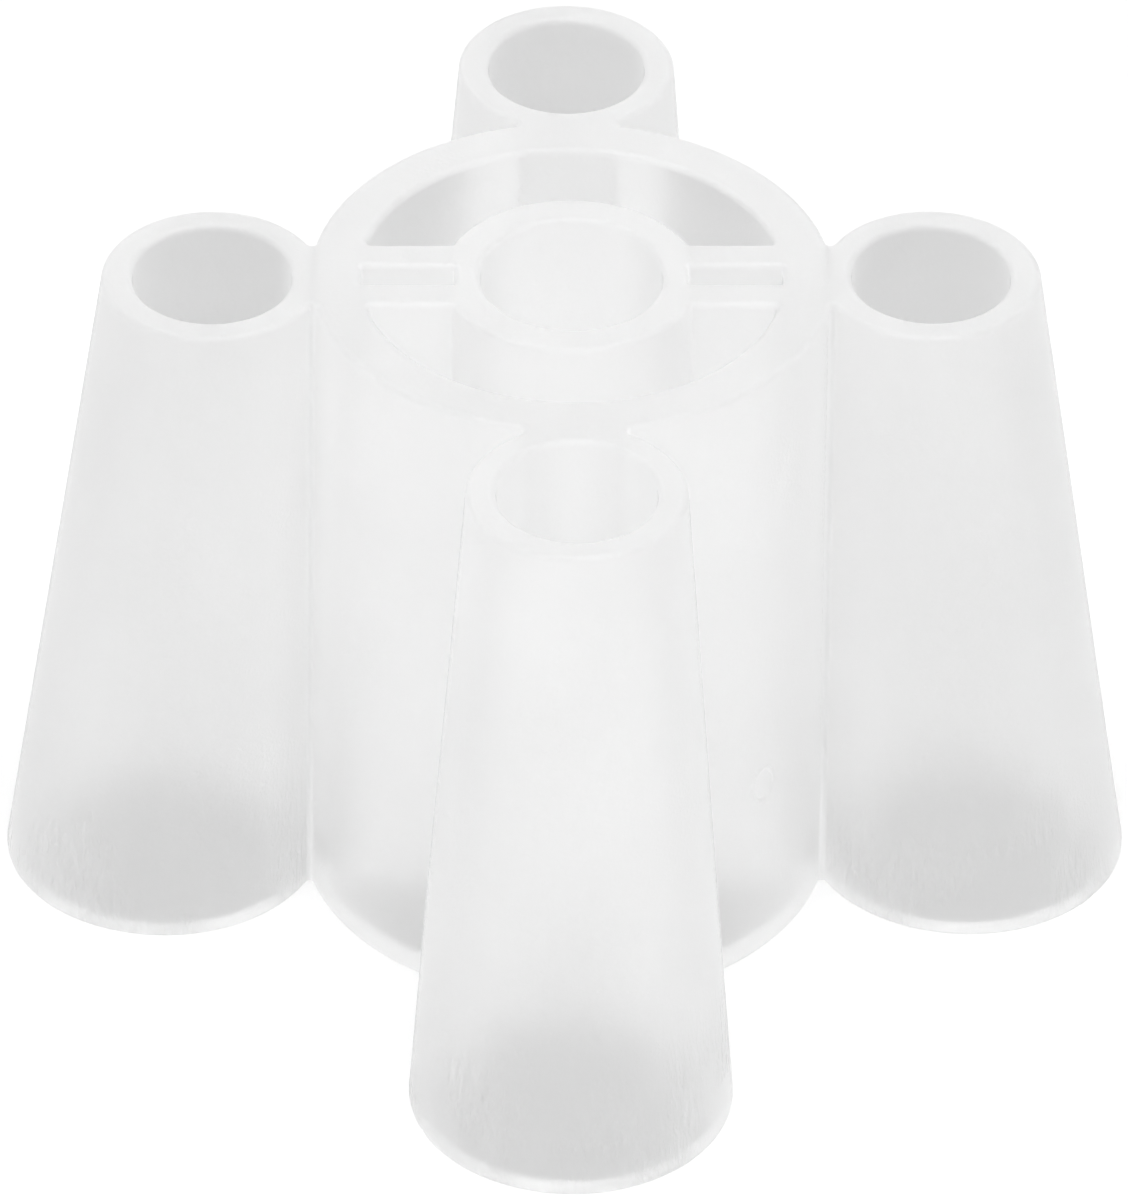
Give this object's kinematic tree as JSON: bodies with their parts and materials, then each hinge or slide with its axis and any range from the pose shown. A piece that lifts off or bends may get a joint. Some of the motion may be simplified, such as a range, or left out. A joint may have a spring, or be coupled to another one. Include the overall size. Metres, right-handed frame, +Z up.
{
  "type": "brush holder",
  "caption": "Soft silicone hub with a keyed central spindle socket and tapered tubes around it that grip brush handles while a motor spins them in a cleaning bowl.",
  "frame": {"origin": "centre of the base, on the spindle socket's axis", "axes": "+Z up along the spindle socket, +X through the right tube, -Y through the front tube"},
  "size_m": [0.064, 0.064, 0.04],
  "materials": {
    "silicone": "translucent milky white silicone, satin"
  },
  "bodies": {
    "root": {"drum_wall": "silicone", "spindle_socket": "silicone", "rib_right_rear": "silicone", "rib_left_rear": "silicone", "rib_left_front": "silicone", "rib_right_front": "silicone", "brush_tube_right": "silicone", "brush_tube_rear": "silicone", "brush_tube_left": "silicone", "brush_tube_front": "silicone"}
  },
  "joints": []
}
